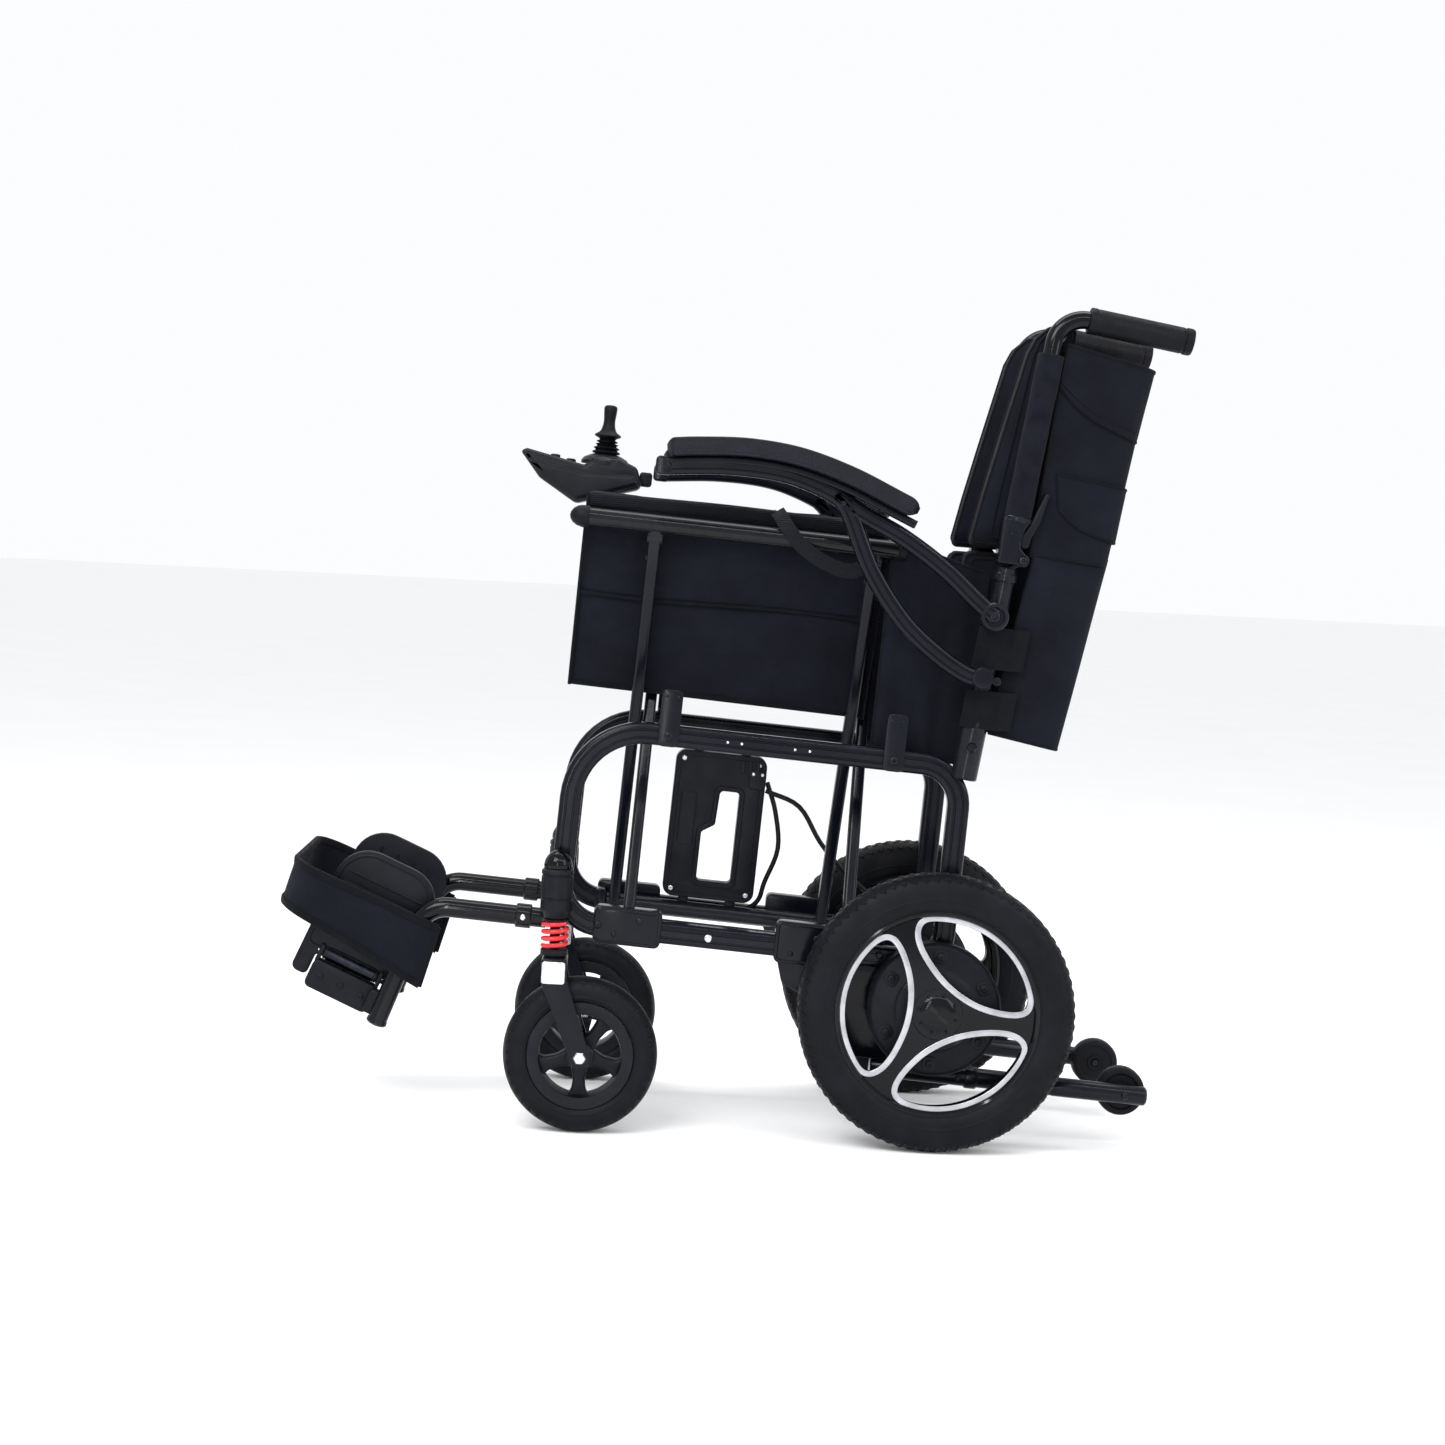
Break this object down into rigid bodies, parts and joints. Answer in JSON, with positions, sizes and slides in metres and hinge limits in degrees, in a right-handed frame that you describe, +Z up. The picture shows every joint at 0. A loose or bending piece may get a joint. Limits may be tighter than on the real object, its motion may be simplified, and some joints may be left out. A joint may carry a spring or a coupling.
{
  "type": "folding power wheelchair",
  "caption": "Folded power wheelchair: cross-braced sling seat, flip-back arms, joystick, small hub-drive rear wheels, sprung front casters.",
  "frame": {"origin": "on the floor under the centre of the chair, folded, at the middle of its overall length and width", "axes": "+X forward, towards the footrests; +Y to the chair's left; +Z up"},
  "size_m": [1.0187, 0.364, 0.9668],
  "materials": {
    "frame_black": "satin black lacquer over extruded tube",
    "rim_gloss": "deep gloss black",
    "motor_black": "black anodised castings",
    "tyre": "matte black rubber, moulded tread",
    "grip_rubber": "ribbed soft rubber",
    "moulded_plastic": "fine-grained black moulding",
    "arm_foam": "pebbled self-skinned foam",
    "sling_fabric": "coarse woven black nylon with stitched hems",
    "spring_red": "gloss red powder coat",
    "bright_steel": "zinc-bright hardware",
    "cable": "smooth black cable jacket"
  },
  "bodies": {
    "left_frame": {"side_frame_left": "frame_black", "motor_left": "motor_black", "antitip_tube_left": "frame_black", "footrest_tube_left": "frame_black", "lower_cane_left": "frame_black", "caster_barrel_left": "moulded_plastic"},
    "right_frame": {"side_frame_right": "frame_black", "motor_right": "motor_black", "antitip_tube_right": "frame_black", "footrest_tube_right": "frame_black", "lower_cane_right": "frame_black", "caster_barrel_right": "moulded_plastic", "battery_box": "moulded_plastic", "motor_lead": "cable", "charge_lead": "cable"},
    "brace_left": {"brace_left_foot": "frame_black", "seat_rail_right": "frame_black", "cross_bolt_front": "bright_steel", "cross_bolt_rear": "bright_steel"},
    "brace_right": {"brace_right_foot": "frame_black", "seat_rail_left": "frame_black"},
    "seat_panel_left": {"seat_panel_left": "sling_fabric"},
    "back_upper_left": {"back_upper_left": "sling_fabric"},
    "back_lower_left": {"back_lower_left": "sling_fabric"},
    "calf_strap_left": {"calf_strap_left": "sling_fabric"},
    "upper_cane_left": {"upper_cane_left": "frame_black", "grip_left": "grip_rubber"},
    "release_lever_left": {"release_lever_left": "moulded_plastic"},
    "armrest_left": {"armrest_frame_left": "frame_black", "arm_pad_left": "arm_foam"},
    "rear_wheel_left": {"rear_tyre_left": "tyre", "rear_rim_left": "rim_gloss"},
    "caster_strut_left": {"caster_spring_left": "spring_red"},
    "caster_fork_left": {"caster_fork_left": "frame_black"},
    "caster_wheel_left": {"caster_tyre_left": "tyre", "caster_rim_left": "moulded_plastic"},
    "antitip_wheel_left": {"antitip_wheel_left": "tyre"},
    "footplate_left": {"footplate_left": "moulded_plastic"},
    "seat_panel_right": {"seat_panel_right": "sling_fabric"},
    "back_upper_right": {"back_upper_right": "sling_fabric"},
    "back_lower_right": {"back_lower_right": "sling_fabric"},
    "calf_strap_right": {"calf_strap_right": "sling_fabric"},
    "upper_cane_right": {"upper_cane_right": "frame_black", "grip_right": "grip_rubber"},
    "release_lever_right": {"release_lever_right": "moulded_plastic"},
    "armrest_right": {"armrest_frame_right": "frame_black", "arm_pad_right": "arm_foam", "controller_housing": "moulded_plastic"},
    "rear_wheel_right": {"rear_tyre_right": "tyre", "rear_rim_right": "rim_gloss"},
    "caster_strut_right": {"caster_spring_right": "spring_red"},
    "caster_fork_right": {"caster_fork_right": "frame_black"},
    "caster_wheel_right": {"caster_tyre_right": "tyre", "caster_rim_right": "moulded_plastic"},
    "antitip_wheel_right": {"antitip_wheel_right": "tyre"},
    "footplate_right": {"footplate_right": "moulded_plastic"},
    "joystick_gimbal": {"joystick_boot": "grip_rubber"},
    "joystick_lever": {"joystick_lever": "grip_rubber"},
    "button_front": {"controller_button_front": "moulded_plastic"},
    "button_rear": {"controller_button_rear": "moulded_plastic"}
  },
  "joints": [
    {"name": "fold", "type": "hinge", "parent": "left_frame", "child": "brace_left", "pos_m": [-0.00716, 0.085, 0.22237], "axis": [0.9981, 0, 0.0619], "range_deg": [0, 38.37]},
    {"name": "fold_cross", "type": "hinge", "parent": "brace_left", "child": "brace_right", "pos_m": [-0.02078, 0, 0.44189], "axis": [0.9981, 0, 0.0619], "range_deg": [-76.75, 0]},
    {"name": "fold_foot", "type": "hinge", "parent": "brace_right", "child": "right_frame", "pos_m": [-0.00716, -0.085, 0.22237], "axis": [0.9981, 0, 0.0619], "range_deg": [0, 38.37]},
    {"name": "seat_fold_left", "type": "hinge", "parent": "brace_right", "child": "seat_panel_left", "pos_m": [-0.03595, 0.077, 0.68647], "axis": [0.9981, 0, 0.0619], "range_deg": [-19.97, 0], "deforming": ["seat_panel_left"]},
    {"name": "back_upper_slide_left", "type": "slide", "parent": "upper_cane_left", "child": "back_upper_left", "axis": [0.6629, -0.7476, 0.0411], "range_m": [0, 0.15829], "deforming": ["back_upper_left"]},
    {"name": "back_lower_slide_left", "type": "slide", "parent": "left_frame", "child": "back_lower_left", "axis": [0.6629, -0.7476, 0.0411], "range_m": [0, 0.15829], "deforming": ["back_lower_left"]},
    {"name": "calf_strap_slide_left", "type": "slide", "parent": "left_frame", "child": "calf_strap_left", "axis": [-0.7199, -0.5599, -0.4102], "range_m": [0, 0.21126], "deforming": ["calf_strap_left"]},
    {"name": "back_fold_left", "type": "hinge", "parent": "left_frame", "child": "upper_cane_left", "pos_m": [-0.32201, 0.118, 0.67213], "axis": [0, -1, 0], "range_deg": [0, 135]},
    {"name": "release_left", "type": "hinge", "parent": "upper_cane_left", "child": "release_lever_left", "pos_m": [-0.32382, 0.118, 0.69166], "axis": [0, -1, 0], "range_deg": [0, 25], "stiffness_Nm_per_rad": 1, "springref_deg": -11.46},
    {"name": "armrest_flip_left", "type": "hinge", "parent": "left_frame", "child": "armrest_left", "pos_m": [-0.28952, 0.148, 0.60712], "axis": [0, -1, 0], "range_deg": [0, 100]},
    {"name": "drive_left", "type": "hinge", "parent": "left_frame", "child": "rear_wheel_left", "pos_m": [-0.2436, 0.157, 0.1576], "axis": [0, 1, 0], "continuous": true},
    {"name": "suspension_left", "type": "slide", "parent": "left_frame", "child": "caster_strut_left", "axis": [0, 0, 1], "range_m": [0, 0.012], "stiffness_N_per_m": 20000, "springref_m": -0.01, "deforming": ["caster_spring_left"]},
    {"name": "swivel_left", "type": "hinge", "parent": "caster_strut_left", "child": "caster_fork_left", "pos_m": [0.1916, 0.142, 0.198], "axis": [0, 0, 1], "continuous": true},
    {"name": "caster_roll_left", "type": "hinge", "parent": "caster_fork_left", "child": "caster_wheel_left", "pos_m": [0.1566, 0.142, 0.088], "axis": [0, 1, 0], "continuous": true},
    {"name": "antitip_roll_left", "type": "hinge", "parent": "left_frame", "child": "antitip_wheel_left", "pos_m": [-0.4712, 0.082, 0.06333], "axis": [0, 1, 0], "continuous": true},
    {"name": "footplate_flip_left", "type": "hinge", "parent": "left_frame", "child": "footplate_left", "pos_m": [0.42697, 0.092, 0.16914], "axis": [0.9202, 0, 0.3915], "range_deg": [0, 90]},
    {"name": "seat_fold_right", "type": "hinge", "parent": "brace_left", "child": "seat_panel_right", "pos_m": [-0.03595, -0.077, 0.68647], "axis": [0.9981, 0, 0.0619], "range_deg": [0, 19.97], "deforming": ["seat_panel_right"]},
    {"name": "back_upper_slide_right", "type": "slide", "parent": "upper_cane_right", "child": "back_upper_right", "axis": [0.6629, 0.7476, 0.0411], "range_m": [0, 0.15829], "deforming": ["back_upper_right"]},
    {"name": "back_lower_slide_right", "type": "slide", "parent": "right_frame", "child": "back_lower_right", "axis": [0.6629, 0.7476, 0.0411], "range_m": [0, 0.15829], "deforming": ["back_lower_right"]},
    {"name": "calf_strap_slide_right", "type": "slide", "parent": "right_frame", "child": "calf_strap_right", "axis": [-0.7199, 0.5599, -0.4102], "range_m": [0, 0.21126], "deforming": ["calf_strap_right"]},
    {"name": "back_fold_right", "type": "hinge", "parent": "right_frame", "child": "upper_cane_right", "pos_m": [-0.32201, -0.118, 0.67213], "axis": [0, -1, 0], "range_deg": [0, 135]},
    {"name": "release_right", "type": "hinge", "parent": "upper_cane_right", "child": "release_lever_right", "pos_m": [-0.32382, -0.118, 0.69166], "axis": [0, -1, 0], "range_deg": [0, 25], "stiffness_Nm_per_rad": 1, "springref_deg": -11.46},
    {"name": "armrest_flip_right", "type": "hinge", "parent": "right_frame", "child": "armrest_right", "pos_m": [-0.28952, -0.148, 0.60712], "axis": [0, -1, 0], "range_deg": [0, 100]},
    {"name": "drive_right", "type": "hinge", "parent": "right_frame", "child": "rear_wheel_right", "pos_m": [-0.2436, -0.157, 0.1576], "axis": [0, 1, 0], "continuous": true},
    {"name": "suspension_right", "type": "slide", "parent": "right_frame", "child": "caster_strut_right", "axis": [0, 0, 1], "range_m": [0, 0.012], "stiffness_N_per_m": 20000, "springref_m": -0.01, "deforming": ["caster_spring_right"]},
    {"name": "swivel_right", "type": "hinge", "parent": "caster_strut_right", "child": "caster_fork_right", "pos_m": [0.1916, -0.142, 0.198], "axis": [0, 0, 1], "continuous": true},
    {"name": "caster_roll_right", "type": "hinge", "parent": "caster_fork_right", "child": "caster_wheel_right", "pos_m": [0.1566, -0.142, 0.088], "axis": [0, 1, 0], "continuous": true},
    {"name": "antitip_roll_right", "type": "hinge", "parent": "right_frame", "child": "antitip_wheel_right", "pos_m": [-0.4712, -0.082, 0.06333], "axis": [0, 1, 0], "continuous": true},
    {"name": "footplate_flip_right", "type": "hinge", "parent": "right_frame", "child": "footplate_right", "pos_m": [0.42697, -0.092, 0.16914], "axis": [-0.9202, 0, -0.3915], "range_deg": [0, 90]},
    {"name": "joystick_forward", "type": "hinge", "parent": "armrest_right", "child": "joystick_gimbal", "pos_m": [0.16401, -0.15, 0.77402], "axis": [0, 1, 0], "range_deg": [-18, 18], "stiffness_Nm_per_rad": 0.4},
    {"name": "joystick_side", "type": "hinge", "parent": "joystick_gimbal", "child": "joystick_lever", "pos_m": [0.16401, -0.15, 0.77402], "axis": [0.9981, 0, 0.0619], "range_deg": [-18, 18], "stiffness_Nm_per_rad": 0.4},
    {"name": "button_press_front", "type": "slide", "parent": "armrest_right", "child": "button_front", "axis": [0.2359, 0, -0.9718], "range_m": [0, 0.0015], "stiffness_N_per_m": 900, "springref_m": -0.001},
    {"name": "button_press_rear", "type": "slide", "parent": "armrest_right", "child": "button_rear", "axis": [0.2359, 0, -0.9718], "range_m": [0, 0.0015], "stiffness_N_per_m": 900, "springref_m": -0.001}
  ],
  "couplings": [
    {"joint": "fold_cross", "follows": "fold", "ratio": -2},
    {"joint": "fold_foot", "follows": "fold", "ratio": 1},
    {"joint": "seat_fold_left", "follows": "fold", "ratio": -0.52007},
    {"joint": "back_upper_slide_left", "follows": "fold", "m_per_rad": 0.23604},
    {"joint": "back_lower_slide_left", "follows": "fold", "m_per_rad": 0.23604},
    {"joint": "calf_strap_slide_left", "follows": "fold", "m_per_rad": 0.31513},
    {"joint": "seat_fold_right", "follows": "fold", "ratio": 0.52007},
    {"joint": "back_upper_slide_right", "follows": "fold", "m_per_rad": 0.23604},
    {"joint": "back_lower_slide_right", "follows": "fold", "m_per_rad": 0.23604},
    {"joint": "calf_strap_slide_right", "follows": "fold", "m_per_rad": 0.31513},
    {"joint": "back_fold_right", "follows": "back_fold_left", "ratio": 1}
  ]
}
